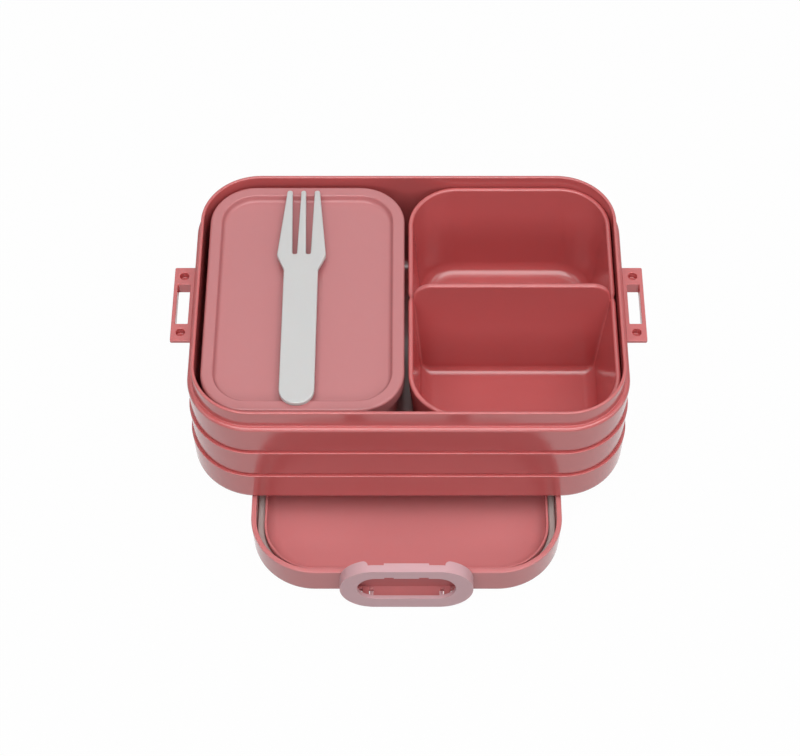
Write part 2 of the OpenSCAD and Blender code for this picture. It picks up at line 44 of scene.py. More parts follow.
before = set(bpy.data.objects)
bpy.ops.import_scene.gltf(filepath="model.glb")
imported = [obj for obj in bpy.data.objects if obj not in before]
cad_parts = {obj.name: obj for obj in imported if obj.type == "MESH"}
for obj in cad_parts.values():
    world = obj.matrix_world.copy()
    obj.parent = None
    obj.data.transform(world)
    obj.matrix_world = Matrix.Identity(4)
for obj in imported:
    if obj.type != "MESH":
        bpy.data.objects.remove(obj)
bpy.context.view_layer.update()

MM = 0.001
SKIN = 0.04 * MM                # strip beside each arc that keeps flats flat
PAST = SKIN * 4                 # how far floors run on past their fillets
MERGE = 0.002 * MM              # points closer than this are one point
FLAT = math.radians(0.6)        # faces that turn by less are one face
SHARP = math.radians(38)        # edges that turn by more stay sharp
ARM_EDGE = 0.2 * MM             # radius along a hinge arm's sides
TONGUE_EDGE = 0.15 * MM         # radius round a tongue's ends
SEAL_FOOT = 0.1 * MM            # radius at the seal's foot
BURIED = 0.4 * MM               # depth of a cove's hidden corner in the walls
SHOULDER = 0.4                  # drop of the divider's shoulders, in wall widths
PLASTIC_IOR = 1.52
PLAIN_SHINE = 0.5               # reflections of the other plastics
LID_SHINE = 0.4                 # the main lid's share of the rose's reflections
WHITE = (1.0, 1.0, 1.0, 1.0)
PAPER_GLOW = 1.02               # the floor's white where a ray sees it
PAPER_SEEN = 0.96               # share of that white in such a ray
FLOOR_REACH = 3.0               # from the middle to the floor's sides, in metres
FLOOR_DROP = 0.05 * MM          # the floor lies this far under the lid
# Each lamp's place, the point that it faces, its width and its height, in metres
LAMPS = {
    "key": ((0.06, -0.34, 1.26), (0, 0, 0), 1.5, 0.9),
    "front": ((0.0, -1.15, 0.72), (0, 0, 0.04), 1.2, 0.35),
    "back": ((0.0, 0.78, 1.15), (0, 0, 0), 1.3, 0.75),
    "right": ((1.2, -0.2, 0.8), (0, 0, 0.03), 0.8, 0.9),
    "left": ((-1.2, -0.2, 0.8), (0, 0, 0.03), 0.8, 0.9),
}


# ---- settings -------------------------------------------------------------


def size(name, about, millimetres):
    """A length setting, stored in metres."""
    return FloatProperty(
        name=name, description=about, default=millimetres * MM,
        unit="LENGTH", subtype="DISTANCE", precision=5,
    )


def colour(name, about, rgb):
    """A colour setting in linear light."""
    return FloatVectorProperty(
        name=name, description=about, default=rgb, size=3, min=0.0, max=1.0,
        subtype="COLOR",
    )


def share(name, about, value):
    """A setting from 0 to 1."""
    return FloatProperty(
        name=name, description=about, default=value, min=0.0, max=1.0,
        subtype="FACTOR",
    )


def power(name, about, watts):
    """A lamp's power."""
    return FloatProperty(name=name, description=about, default=watts, unit="POWER")


class BaseSizes(PropertyGroup):
    """Sizes of the base box."""

    corner_r: size("Corner radius", "Radius of the top ledge's corners", 25)
    floor_t: size("Floor", "Thickness of the floor", 2.2)
    foot_r: size("Foot radius", "Edge between wall and underside", 3.3)
    fillet_r: size("Inner fillet", "Fillet between wall and floor inside", 4)
    draft: size("Draft", "How much narrower the inside is at the floor", 0.7)
    rim_h: size("Rim height", "Height of the plain rim above the top ledge", 8)
    rim_t: size("Rim thickness", "Thickness of the rim's wall", 1.3)
    ledge_w: size("Top ledge", "Width of the top ledge", 2)
    shoulder_r: size("Shoulder", "Radius of the top ledge's outer edge", 1.2)
    ledge_r: size("Ledge edge", "Radius of each lower ledge's outer edge", 0.28)
    band_pitch: size("Band pitch", "Height from one ledge to the next", 15.4)
    band_lean: size("Band lean", "How far a band leans in downwards", 0.6)
    band_step: size("Band step", "How far a ledge stands out below a band", 0.9)
    groove_h: size("Groove height", "Height of the groove above a ledge", 0.75)
    groove_d: size("Groove depth", "Depth of the groove behind a band", 0.9)
    small_r: size("Small radius", "Radius in the grooves", 0.12)


class EarSizes(PropertyGroup):
    """Sizes of the two ears at the base's ends."""

    out: size("Reach", "How far the ear stands out from the top ledge", 7.7)
    length: size("Length", "Length of the ear", 35.8)
    thick: size("Thickness", "Thickness of the ear's plate", 1.4)
    drop: size("Drop", "Drop of the ear below the top ledge", 1)
    root: size("Root", "How far the ear reaches into the wall", 2)
    corner_r: size("Corner radius", "Radius of the ear's corners", 0.6)
    slot_l: size("Slot length", "Length of the slot", 19.2)
    slot_w: size("Slot width", "Width of the slot", 4.9)
    slot_r: size("Slot corner", "Radius of the slot's corners", 0.35)
    slot_edge: size("Slot edge", "Distance from the slot to the outer edge", 1.5)
    sleeve_h: size("Sleeve depth", "Depth of the sleeve around the slot", 5.2)
    sleeve_t: size("Sleeve wall", "Thickness of the sleeve", 1.2)
    pocket_pitch: size("Pocket pitch", "Distance between the pockets", 27.4)
    pocket_d: size("Pocket diameter", "Diameter of each round pocket", 3.5)
    pocket_h: size("Pocket depth", "Depth of each round pocket", 2.8)
    pocket_t: size("Pocket wall", "Wall around each round pocket", 0.5)
    edge_r: size("Edge radius", "Radius of the ear's edges", 0.22)


class LidSizes(PropertyGroup):
    """Sizes of the main lid, its seal and its hinge arms."""

    over: size("Overhang", "How far the lid stands out past the top ledge", 0.3)
    plate_t: size("Plate", "Thickness of the plate", 2)
    lean: size("Lean", "How far the wall leans in to the outside face", 0.6)
    edge_r: size("Outer edge", "Radius round the outside face", 2.5)
    skirt_t: size("Skirt", "Thickness of the skirt", 2)
    skirt_r: size("Skirt edge", "Radius of the skirt's outer edge", 0.5)
    seal_w: size("Seal width", "Width of the seal", 2.7)
    seal_gap: size("Seal gap", "Free space on each side of the seal", 0.1)
    lip_t: size("Lip", "Thickness of the inner lip", 1)
    lip_rise: size("Lip rise", "Height of the lip above the seal", 2.2)
    lip_r: size("Lip edge", "Radius of the lip's edges", 0.35)
    fillet_r: size("Fillet", "Fillet between the lip and the plate", 5)
    arm_x: size("Arm place", "Distance of a hinge arm from the middle", 15.7)
    arm_w: size("Arm width", "Width of a hinge arm", 2.6)
    arm_r: size("Arm end", "Radius of a hinge arm's round end", 1.7)
    arm_root: size("Arm root", "How far an arm reaches into the lid", 2)
    tongue_l: size("Tongue", "Length of the tongue between a clip's knuckles", 25.6)
    tongue_t: size("Tongue thickness", "Height of the tongue over the pins", 1.35)
    root_l: size("Tongue root", "Length of the tongue behind the knuckles", 38)
    root_out: size("Tongue root's reach", "How far its root stands out", 1.05)
    hole_d: size("Pin hole", "Diameter of the hole for the pin", 1.96)
    hole_z: size("Pin height", "Height of the pin above the outside face", 2.8)


class ClipSizes(PropertyGroup):
    """Finish of the two clips."""

    edge_r: size("Edge radius", "Radius of the clip's edges", 0.5)


class BoxSizes(PropertyGroup):
    """Sizes of the small box and its lid."""

    corner_r: size("Corner radius", "Radius of the small lid's corners", 18)
    wall_t: size("Wall", "Thickness of the small box's wall", 1.5)
    floor_t: size("Floor", "Thickness of the small box's floor", 2)
    draft: size("Draft", "How far the wall leans in to the floor", 3)
    fillet_r: size("Fillet", "Fillet between wall and floor", 5)
    cap_t: size("Lid plate", "Thickness of the small lid's plate", 1.4)
    skirt_t: size("Lid skirt", "Thickness of the small lid's skirt", 1.3)
    skirt_h: size("Skirt depth", "Depth of the small lid's skirt", 6)
    gap: size("Lid gap", "Free space between lid and box", 0.3)
    plug_t: size("Plug wall", "Wall around the sunken panel", 1.2)
    sink: size("Sink", "Depth of the sunken panel", 2.7)
    edge_r: size("Border edge", "Radius of the border's outer edge", 1)
    panel_r: size("Panel fillet", "Fillet round the sunken panel", 1.3)


class TraySizes(PropertyGroup):
    """Sizes of the divided tray."""

    corner_r: size("Corner radius", "Radius of the rim's corners", 20)
    wall_t: size("Wall", "Thickness of the wall", 1.9)
    floor_t: size("Floor", "Thickness of the floor", 2.2)
    draft: size("Draft", "How far the wall leans in to the floor", 3.6)
    fillet_r: size("Fillet", "Fillet between wall and floor", 5)
    divider_y: size("Divider place", "Its front face behind the tray's middle", -0.8)
    divider_t: size("Divider", "Thickness of the divider at its top", 2.1)
    divider_draft: size("Divider draft", "Extra thickness at its foot", 0.6)
    divider_rise: size("Divider rise", "Height of the divider over the rim", 7.6)
    divider_r: size("Divider edge", "Radius of the divider's top edges", 0.8)
    cove_wall: size("Wall cove", "Fillet between divider and side wall", 0.9)
    cove_floor: size("Floor cove", "Fillet between divider and floor", 3)
    crease_l: size("Crease length", "Length of the crease at the divider", 4)
    crease_d: size("Crease depth", "Depth of the crease", 0.6)


class ForkSizes(PropertyGroup):
    """Sizes of the fork."""

    handle_w: size("Handle", "Width of the handle", 13.3)
    neck_l: size("Shoulder", "Length of the shoulder below the slots", 7.5)
    tine_l: size("Slots", "Length of the slots between the tines", 32.4)
    tine_pitch: size("Tine pitch", "Distance from tine to tine", 5.35)
    tip_w: size("Tips", "Width of a tine's tip", 1.9)
    slot_w: size("Slot width", "Width of a slot at its closed end", 1.8)
    edge_r: size("Edge radius", "Radius of the fork's edges", 0.45)


class Finishes(PropertyGroup):
    """Colours and gloss of the plastics."""

    rose: colour("Rose", "Colour of the base and the tray", (0.585, 0.124, 0.125))
    rose_deep: colour("Deep rose", "Darker streaks in the rose", (0.56, 0.115, 0.116))
    lid: colour("Lid rose", "Colour of the main lid", (0.635, 0.218, 0.222))
    lid_deep: colour("Deep lid rose", "Darker streaks", (0.61, 0.204, 0.208))
    inner: colour("Inner rose", "Colour of the small box", (0.54, 0.198, 0.204))
    inner_deep: colour("Deep inner rose", "Darker streaks", (0.515, 0.186, 0.192))
    blush: colour("Blush", "Colour of the clips", (0.66, 0.41, 0.44))
    blush_deep: colour("Deep blush", "Darker streaks", (0.63, 0.385, 0.415))
    seal: colour("Seal", "Colour of the seal", (0.60, 0.55, 0.52))
    ivory: colour("Ivory", "Colour of the fork", (0.60, 0.60, 0.595))
    ivory_deep: colour("Deep ivory", "Darker streaks", (0.575, 0.57, 0.565))
    shine: share("Shine", "Strength of the rose plastic's reflections", 0.8)
    gloss: share("Plastic roughness", "Roughness of the moulded walls", 0.15)
    satin: share("Satin roughness", "Roughness of the clips and the fork", 0.42)


class StageSettings(PropertyGroup):
    """Camera and light."""

    elevation: FloatProperty(
        name="Elevation", description="Camera's angle above the horizon",
        default=math.radians(54.51), subtype="ANGLE",
    )
    distance: size("Distance", "From the camera to its target", 881)
    lens: FloatProperty(
        name="Lens", description="Focal length in millimetres on a 36 mm frame",
        default=96.03,
    )
    target_y: size("Target", "Distance of the target behind the middle", 15.7)
    target_z: size("Target height", "Height of the target", 2.5)
    shift: FloatProperty(
        name="Shift", description="Sideways shift of the picture", default=-0.01075,
    )
    world: share("World", "Strength of the light from all sides", 0.09)
    mirrored: share("Mirrored", "How near to plain white mirrors see the world", 0.5)
    key: power("Key light", "Large lamp over the front", 13.5)
    front: power("Front light", "Low lamp in front", 4.8)
    back: power("Back light", "Softbox over the back", 2.2)
    right: power("Right light", "Lamp on the right", 3.2)
    left: power("Left light", "Lamp on the left", 2.0)


# ---- numpy surfaces ---------------------------------------------------------


def unit(vector):
    """The vector divided by its length."""
    return vector / np.linalg.norm(vector, axis=-1, keepdims=True)


def soften(corners, steps=5, closed=False):
    """A line through [x, y, radius] corners with every corner made an arc.

    The arc's centre lies on the corner's bisector at radius / sin(half the
    corner), and its points turn evenly from one touching point to the other.
    Each arc gets one more point just before and just after it. The ends of an
    open line stay as they are.
    """
    corners = np.array([[*c, 0][:3] for c in corners], float)
    if closed:
        corners = np.vstack([corners[-1:], corners, corners[:1]])
    turn = np.linspace(0, 1, steps + 1)[:, None]
    line = [] if closed else [corners[:1, :2]]
    for before, here, after in zip(corners[:-2], corners[1:-1], corners[2:]):
        point, radius = here[:2], here[2]
        if radius == 0:
            line.append(point[None])
            continue
        back, ahead = unit(before[:2] - point), unit(after[:2] - point)
        half = math.acos(np.clip(back @ ahead, -1, 1)) / 2
        reach = radius / math.tan(half)
        middle = point + unit(back + ahead) * radius / math.sin(half)
        first = unit(point + back * reach - middle)
        last = unit(point + ahead * reach - middle)
        swing = math.pi - 2 * half
        arc = np.sin((1 - turn) * swing) * first + np.sin(turn * swing) * last
        line += [
            (point + back * (reach + SKIN))[None],
            middle + radius * arc / math.sin(swing),
            (point + ahead * (reach + SKIN))[None],
        ]
    if not closed:
        line.append(corners[-1:, :2])
    return np.vstack(line)


def with_outward(loop):
    """A closed anticlockwise loop of points with each point's outward direction,
    which is the line between its two neighbours turned a quarter clockwise."""
    along = unit(np.roll(loop, -1, 0) - np.roll(loop, 1, 0))
    return loop, np.stack([along[:, 1], -along[:, 0]], -1)


def rounded(length, width, radius, arc, side, centre=(0, 0)):
    """Outline of a rectangle with round corners and its outward directions.

    Four quarter circles about the corners' centres, in arc steps each, joined by
    straight sides of side even parts, anticlockwise.
    """
    turn = np.radians(90 * np.arange(4)[:, None] + np.linspace(0, 90, arc + 1))
    out = np.stack([np.cos(turn), np.sin(turn)], -1)
    signs = np.array([[1, 1], [-1, 1], [-1, -1], [1, -1]])
    middle = signs * [length / 2 - radius, width / 2 - radius]
    bend = middle[:, None] + radius * out
    part = (np.arange(1, side) / side)[None, :, None]
    line = bend[:, -1:] + (np.roll(bend, -1, 0)[:, :1] - bend[:, -1:]) * part
    outward = np.concatenate([out, np.repeat(out[:, -1:], side - 1, 1)], 1)
    points = np.concatenate([bend, line], 1).reshape(-1, 2) + np.array(centre)
    return points, outward.reshape(-1, 2)


def circle(diameter, centre, count=40):
    """Points round a circle and their outward directions."""
    turn = np.linspace(0, 2 * math.pi, count, endpoint=False)
    out = np.stack([np.cos(turn), np.sin(turn)], -1)
    return np.array(centre) + out * diameter / 2, out


def carry(profile, outline):
    """A profile of [outward, height] points carried round an outline: each point
    is the outline's point moved outward by the first value, at the second."""
    points, out = outline
    flat = points[None] + profile[:, None, :1] * out[None]
    height = np.broadcast_to(profile[:, None, 1:], (*flat.shape[:2], 1))
    return np.concatenate([flat, height], -1)


class Shell:
    """The faces of one piece, gathered as arrays of points and indices."""

    def __init__(self):
        self.points = []
        self.faces = []
        self.count = 0

    def add(self, points, faces):
        """Adds points and the faces that index them."""
        self.faces += (np.asarray(faces) + self.count).tolist()
        self.points.append(np.asarray(points, float).reshape(-1, 3))
        self.count += len(self.points[-1])

    def grid(self, rows, closed=False):
        """Quads between rows of points, with each row's end joined to its start.
        closed joins the last row to the first as well."""
        index = np.arange(rows.shape[0] * rows.shape[1]).reshape(rows.shape[:2])
        index = np.hstack([index, index[:, :1]])
        if closed:
            index = np.vstack([index, index[:1]])
        sides = [index[:-1, :-1], index[:-1, 1:], index[1:, 1:], index[1:, :-1]]
        self.add(rows, np.stack(sides, -1).reshape(-1, 4))
        return rows

    def fill(self, *loops):
        """A flat face inside the first loop of points and outside the others."""
        lines = [[Vector(p) for p in loop] for loop in loops]
        self.add(np.vstack(loops), [list(t) for t in tessellate_polygon(lines)])

    def tub(self, rows):
        """A grid whose first and last rows are filled: underside and floor."""
        self.grid(rows)
        self.fill(rows[0])
        self.fill(rows[-1])

    def slab(self, outline, holes, low, high, edge):
        """A plate from height low to high with rounded edges, inside an outline
        and outside the holes."""
        bands = [self.grid(carry(edge_profile(low, high, edge, -1), outline))]
        for hole in holes:
            bands.append(self.grid(carry(edge_profile(low, high, edge, 1), hole)))
        self.fill(*[band[0] for band in bands])
        self.fill(*[band[-1] for band in bands])

    def moved(self, change):
        """Runs a function over all points gathered so far."""
        self.points = [change(np.vstack(self.points))]

    def join(self, other):
        """Takes over another shell's faces."""
        self.add(np.vstack(other.points), other.triangles())

    def triangles(self):
        """The faces as triangles, so that they fit in one array."""
        return [
            part for face in self.faces
            for part in ([face] if len(face) == 3 else [face[:3], [face[0], *face[2:]]])
        ]

    def piece(self, name, material):
        """Makes the object: merges shared points, turns faces outward and
        shades all but sharp edges smooth."""
        mesh = bpy.data.meshes.new(name)
        mesh.from_pydata(np.vstack(self.points).tolist(), [], self.faces)
        tidy_mesh(mesh)
        return place(name, mesh, material)


def edge_profile(low, high, edge, side):
    """Side face from high to low with an arc of radius edge at both ends. side
    is -1 where the material lies inside the outline and 1 round a hole."""
    inset = side * (edge + 2 * SKIN)
    corners = [[inset, high], [0, high, edge], [0, low, edge], [inset, low]]
    return soften(corners, steps=4)


def tidy_mesh(mesh):
    """Merges doubles, points the faces outward and marks sharp edges."""
    work = bmesh.new()
    work.from_mesh(mesh)
    bmesh.ops.remove_doubles(work, verts=work.verts, dist=MERGE)
    bmesh.ops.dissolve_degenerate(work, edges=work.edges, dist=MERGE)
    bmesh.ops.recalc_face_normals(work, faces=work.faces)
    work.to_mesh(mesh)
    work.free()
    mesh.shade_smooth()
    mesh.set_sharp_from_angle(angle=SHARP)


def place(name, mesh, material):
    """Links a mesh as an object at the origin."""
    piece = bpy.data.objects.new(name, mesh)
    bpy.context.scene.collection.objects.link(piece)
    piece.data.materials.clear()
    piece.data.materials.append(material)
    return piece


def stand_for(piece, node, body):
    """Puts a piece in its CAD node's place on the node's body."""
    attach(piece, body)
    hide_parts(node)


def spans(node):
    """A node's lowest corner, its sizes and its centre, as arrays."""
    low, high = (np.array(corner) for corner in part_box(node))
    return low, high - low, (low + high) / 2


# ---- shapes -----------------------------------------------------------------


def base_wall(s, height):
    """The base's wall from under the floor, up its three bands, over the rim and
    down inside, as one softened line."""
    inside = s.ledge_w + s.rim_t
    reach = inside + s.draft + s.fillet_r + PAST
    top = height - s.rim_h
    stand = s.band_step - s.band_lean
    corners = [[-reach, 0], [2 * stand - s.band_lean, 0, s.foot_r]]
    for k in (2, 1, 0):
        edge = s.ledge_r if k else s.shoulder_r
        corners.append([k * stand, top - k * s.band_pitch, edge])
        if k:
            back = (k - 1) * stand - s.band_lean
            groove = top - k * s.band_pitch
            corners += [
                [back - s.groove_d, groove, s.small_r],
                [back - s.groove_d, groove + s.groove_h, s.small_r],
                [back, groove + s.groove_h, s.small_r * 1.5],
            ]
    rim_r = s.rim_t * 0.4
    corners += [
        [-s.ledge_w, top, s.small_r * 2],
        [-s.ledge_w, height, rim_r],
        [-inside, height, rim_r],
        [-inside - s.draft, s.floor_t, s.fillet_r],
        [-reach, s.floor_t],
    ]
    return soften(corners)


def ear_shell(s, base_l, top):
    """One ear at the +X end: a plate with a slot whose edge runs down into a
    sleeve, and two blind round pockets in bosses."""
    inner, outer = base_l / 2 - s.root, base_l / 2 + s.out
    under = top - s.thick
    e = s.edge_r
    plate = rounded(outer - inner, s.length, s.corner_r, 5, 6,
                    ((inner + outer) / 2, 0))
    slot_x = outer - s.slot_edge - s.slot_w / 2
    slot = rounded(s.slot_w, s.slot_l, s.slot_r, 4, 6, (slot_x, 0))
    shell = Shell()
    rim = shell.grid(carry(edge_profile(under, top, e, -1), plate))
    bottom = top - s.sleeve_h
    sleeve = shell.grid(carry(soften([
        [e + 2 * SKIN, top], [0, top, e], [0, bottom, e], [s.sleeve_t, bottom, e],
        [s.sleeve_t, under],
    ], steps=4), slot))
    tops, bottoms = [rim[0], sleeve[0]], [rim[-1], sleeve[-1]]
    pocket_x = base_l / 2 + s.out / 2
    for side in (-1, 1):
        hole = circle(s.pocket_d, (pocket_x, side * s.pocket_pitch / 2))
        floor = top - s.pocket_h
        base = floor - s.pocket_t
        half = s.pocket_d / 4
        cup = shell.grid(carry(soften([
            [e + 2 * SKIN, top], [0, top, e], [0, floor, 2 * e], [-half, floor],
        ], steps=4), hole))
        boss = shell.grid(carry(soften([
            [s.pocket_t, under], [s.pocket_t, base, e], [-half, base],
        ], steps=4), hole))
        shell.fill(cup[-1])
        shell.fill(boss[-1])
        tops.append(cup[0])
        bottoms.append(boss[0])
    shell.fill(*tops)
    shell.fill(*bottoms)
    return shell


def lid_wall(s, height, seal_top, seal_h):
    """The lid's wall from under its plate, up the skirt, through the seal's
    groove, over the lip and down to the plate."""
    lip_out = s.skirt_t + s.seal_w + 2 * s.seal_gap
    lip_in = lip_out + s.lip_t
    lip_z = seal_top + s.lip_rise
    groove = seal_top - seal_h
    reach = lip_in + s.fillet_r + PAST
    r = s.lip_r
    return soften([
        [-reach, 0], [-s.lean, 0, s.edge_r], [0, height, s.skirt_r],
        [-s.skirt_t, height, r], [-s.skirt_t, groove, r / 3],
        [-lip_out, groove, r / 3], [-lip_out, lip_z, r], [-lip_in, lip_z, r],
        [-lip_in, s.plate_t, s.fillet_r], [-reach, s.plate_t],
    ], steps=6)


def arm_shell(s, pin_y, edge_y):
    """One hinge arm at the -Y end: a lug with a round end and a hole for the pin,
    seen from the side, then turned to lie along X."""
    r, z = s.arm_r, s.hole_z
    root, nose = -edge_y + s.arm_root, -pin_y - r
    nose_r = r * 0.98                   # a hair less than a half circle
    lug = soften([
        [root, z - r], [root, z + r], [nose, z + r, nose_r], [nose, z - r, nose_r],
    ], steps=10, closed=True)
    hole = circle(s.hole_d, (-pin_y, z), 24)
    shell = Shell()
    shell.slab(with_outward(lug), [hole], -s.arm_w / 2, s.arm_w / 2, ARM_EDGE)
    shell.moved(lambda p: p[:, [2, 0, 1]])
    return shell


def tongue_shell(s, pin_y, edge_y):
    """A tongue on the lid's -Y end, over the clip's pins and between its
    knuckles, that closes the gap under the clip's hole. Its root is longer, runs
    on behind the knuckles and is a hair thinner, so no two faces share a plane."""
    wall = -edge_y + s.arm_root
    nose_r = s.tongue_t * 0.7
    shell = Shell()
    for nose, length, inset in (
        (-pin_y - s.tongue_t, s.tongue_l, 0),
        (-edge_y - s.root_out, s.root_l, 1.5 * SKIN),
    ):
        low, high = s.hole_z + inset, s.hole_z + s.tongue_t - inset
        profile = soften([
            [wall, low], [wall, high], [nose, high, nose_r], [nose, low],
        ], steps=10, closed=True)
        shell.slab(with_outward(profile), [], -length / 2, length / 2, TONGUE_EDGE)
    shell.moved(lambda p: p[:, [2, 0, 1]])
    return shell


def tub_wall(height, wall, floor, draft, fillet):
    """Wall of an open tub, whose faces lean in to the floor and whose rim is
    rounded, from under the floor to the floor inside."""
    reach = draft + wall + fillet + PAST
    rim_r, foot_r = wall * 0.42, fillet + MM
    return soften([
        [-reach, 0], [-draft, 0, foot_r], [0, height, rim_r],
        [-wall, height, rim_r], [-wall - draft, floor, fillet], [-reach, floor],
    ], steps=8)


def cap_wall(s):
    """The small lid from under its panel, round its plug and skirt, over the
    border and down to the sunken panel. The border's top is at height 0."""
    border = s.skirt_t + s.gap + s.wall_t + s.gap + s.plug_t
    plug = border - s.plug_t
    under = -s.sink - s.cap_t
    slope = s.panel_r * 0.6
    reach = border + slope + s.panel_r + PAST
    r = s.skirt_t * 0.2
    return soften([
        [-reach, under], [-plug, under, r], [-plug, -s.cap_t, r],
        [-s.skirt_t, -s.cap_t, r], [-s.skirt_t, -s.skirt_h, r],
        [0, -s.skirt_h, r], [0, 0, s.edge_r], [-border, 0, s.panel_r / 2],
        [-border - slope, -s.sink, s.panel_r], [-reach, -s.sink],
    ], steps=6)


def seal_ring(s, low, height):
    """Cross-section of the seal: a bar with a rounded top."""
    half = s.seal_w / 2
    middle = -s.skirt_t - s.seal_gap - half
    top, top_r = low + height, half * 0.6
    return soften([
        [middle - half, low, SEAL_FOOT], [middle + half, low, SEAL_FOOT],
        [middle + half, top, top_r], [middle - half, top, top_r],
    ], steps=8, closed=True)


def divider_shell(s, width, height):
    """The divider as a plate that stands across the tray: an outline in X and Z
    with rounded top corners, given its thickness along Y, wider at its foot."""
    inside = width / 2 - s.wall_t
    middle = width / 2 - s.wall_t / 2
    top = height + s.divider_rise
    cut = height - s.wall_t * SHOULDER
    loop = soften([
        [-middle + s.draft, s.floor_t / 2], [middle - s.draft, s.floor_t / 2],
        [middle, cut], [inside, cut], [inside, top, s.divider_rise],
        [-inside, top, s.divider_rise], [-inside, cut], [-middle, cut],
    ], steps=14, closed=True)
    shell = Shell()
    half = s.divider_t / 2
    middle_y = s.divider_y + half
    shell.slab(with_outward(loop), [], -half, half, s.divider_r)

    def stand_up(p):
        spread = 1 + s.divider_draft / s.divider_t * (1 - p[:, 1] / top)
        return np.stack([p[:, 0], middle_y - p[:, 2] * spread, p[:, 1]], -1)

    shell.moved(stand_up)
    return shell


def cove_shell(s, width, height, side):
    """The fillet between the divider and the tray, as a ball rolled down one side
    wall, over the floor and up the other leaves it: a quarter circle between
    the tray's surface and the divider's face, carried along the tray's inside
    line. side is 1 behind the divider and -1 in front of it."""
    inside, top = width / 2 - s.wall_t, height - s.wall_t * SHOULDER
    lean = s.draft * (top - s.floor_t) / (height - s.floor_t)
    path = soften([
        [-inside, top], [-inside + lean, s.floor_t, s.fillet_r],
        [inside - lean, s.floor_t, s.fillet_r], [inside, top],
    ], steps=14)
    fine = np.linspace(0, len(path) - 1, 6 * len(path))
    knots = np.arange(len(path))
    path = np.stack([np.interp(fine, knots, path[:, i]) for i in (0, 1)], -1)
    along = unit(np.gradient(path, axis=0))
    inward = np.stack([-along[:, 1], along[:, 0]], -1)
    floorness = np.clip(inward[:, 1], 0, 1) ** 2
    end = np.clip((top - path[:, 1]) / (2 * s.cove_wall), 0, 1)
    radius = (s.cove_wall + (s.cove_floor - s.cove_wall) * floorness) * end
    turn = np.linspace(0, math.pi / 2, 9)
    hidden = np.full((len(path), 1), -BURIED)
    off = np.append(radius[:, None] * (1 - np.cos(turn)), hidden, 1)
    out = np.append(radius[:, None] * (1 - np.sin(turn)), hidden, 1)
    rows = path[:, None] + off[..., None] * inward[:, None]
    spread = s.divider_draft / 2 * (1 - rows[..., 1] / (height + s.divider_rise))
    half = s.divider_t / 2
    face = s.divider_y + half + side * (half + spread)
    shell = Shell()
    shell.grid(np.stack([rows[..., 0], face + side * out, rows[..., 1]], -1))
    return shell


def fork_loop(s, length, head_w):
    """The fork's outline from the end of its handle at the origin along +Y: each
    corner of the handle, shoulder, tines and slots with its radius."""
    hw, head = s.handle_w / 2, head_w / 2
    slot_y = length - s.tine_l
    slot_x, slot_r, tip = s.tine_pitch / 2, s.slot_w / 2, s.tip_w / 2
    handle_r, neck_r, hip_r = hw * 0.97, 2 * MM, 4.5 * MM
    tip_r, slot_end_r = tip * 0.9, slot_r * 0.8
    right = [
        [hw, 0, handle_r],
        [hw, slot_y - s.neck_l, neck_r],
        [head + 0.35 * MM, slot_y - 0.6 * MM, hip_r],
        [s.tine_pitch + tip * 1.15, length, tip_r],
        [s.tine_pitch - tip, length, tip_r],
        [slot_x + slot_r, slot_y, slot_end_r],
        [slot_x - slot_r, slot_y, slot_end_r],
        [tip, length, tip_r],
    ]
    left = [[-x, y, r] for x, y, r in reversed(right)]
    return soften(right + left, steps=8, closed=True)


def smooth_copy(node, name, material, edge):
    """A copy of a CAD node's mesh with its points merged, its flats joined and
    its edges rounded by a bevel."""
    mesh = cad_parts[node].data.copy()
    mesh.name = name
    work = bmesh.new()
    work.from_mesh(mesh)
    bmesh.ops.remove_doubles(work, verts=work.verts, dist=MERGE)
    bmesh.ops.dissolve_limit(
        work, angle_limit=FLAT, verts=work.verts, edges=work.edges)
    work.to_mesh(mesh)
    work.free()
    mesh.shade_smooth()
    mesh.set_sharp_from_angle(angle=SHARP)
    piece = place(name, mesh, material)
    bevel = piece.modifiers.new("edges", "BEVEL")
    bevel.width = edge
    bevel.segments = 3
    bevel.limit_method = "ANGLE"
    bevel.angle_limit = SHARP
    bevel.use_clamp_overlap = True
    bevel.harden_normals = True
    return piece


# ---- materials --------------------------------------------------------------


class Flow:
    """A node's output that Python's operators turn into Math nodes."""

    def __init__(self, recipe, socket):
        self.recipe = recipe
        self.socket = socket

    def maths(self, operation, first, second):
        return self.recipe.node(
            "ShaderNodeMath", {"operation": operation}, {0: first, 1: second})

    def __add__(self, other):
        return self.maths("ADD", self, other)

    def __radd__(self, other):
        return self.maths("ADD", other, self)

    def __sub__(self, other):
        return self.maths("SUBTRACT", self, other)

    def __rsub__(self, other):
        return self.maths("SUBTRACT", other, self)

    def __mul__(self, other):
        return self.maths("MULTIPLY", self, other)

    def __rmul__(self, other):
        return self.maths("MULTIPLY", other, self)


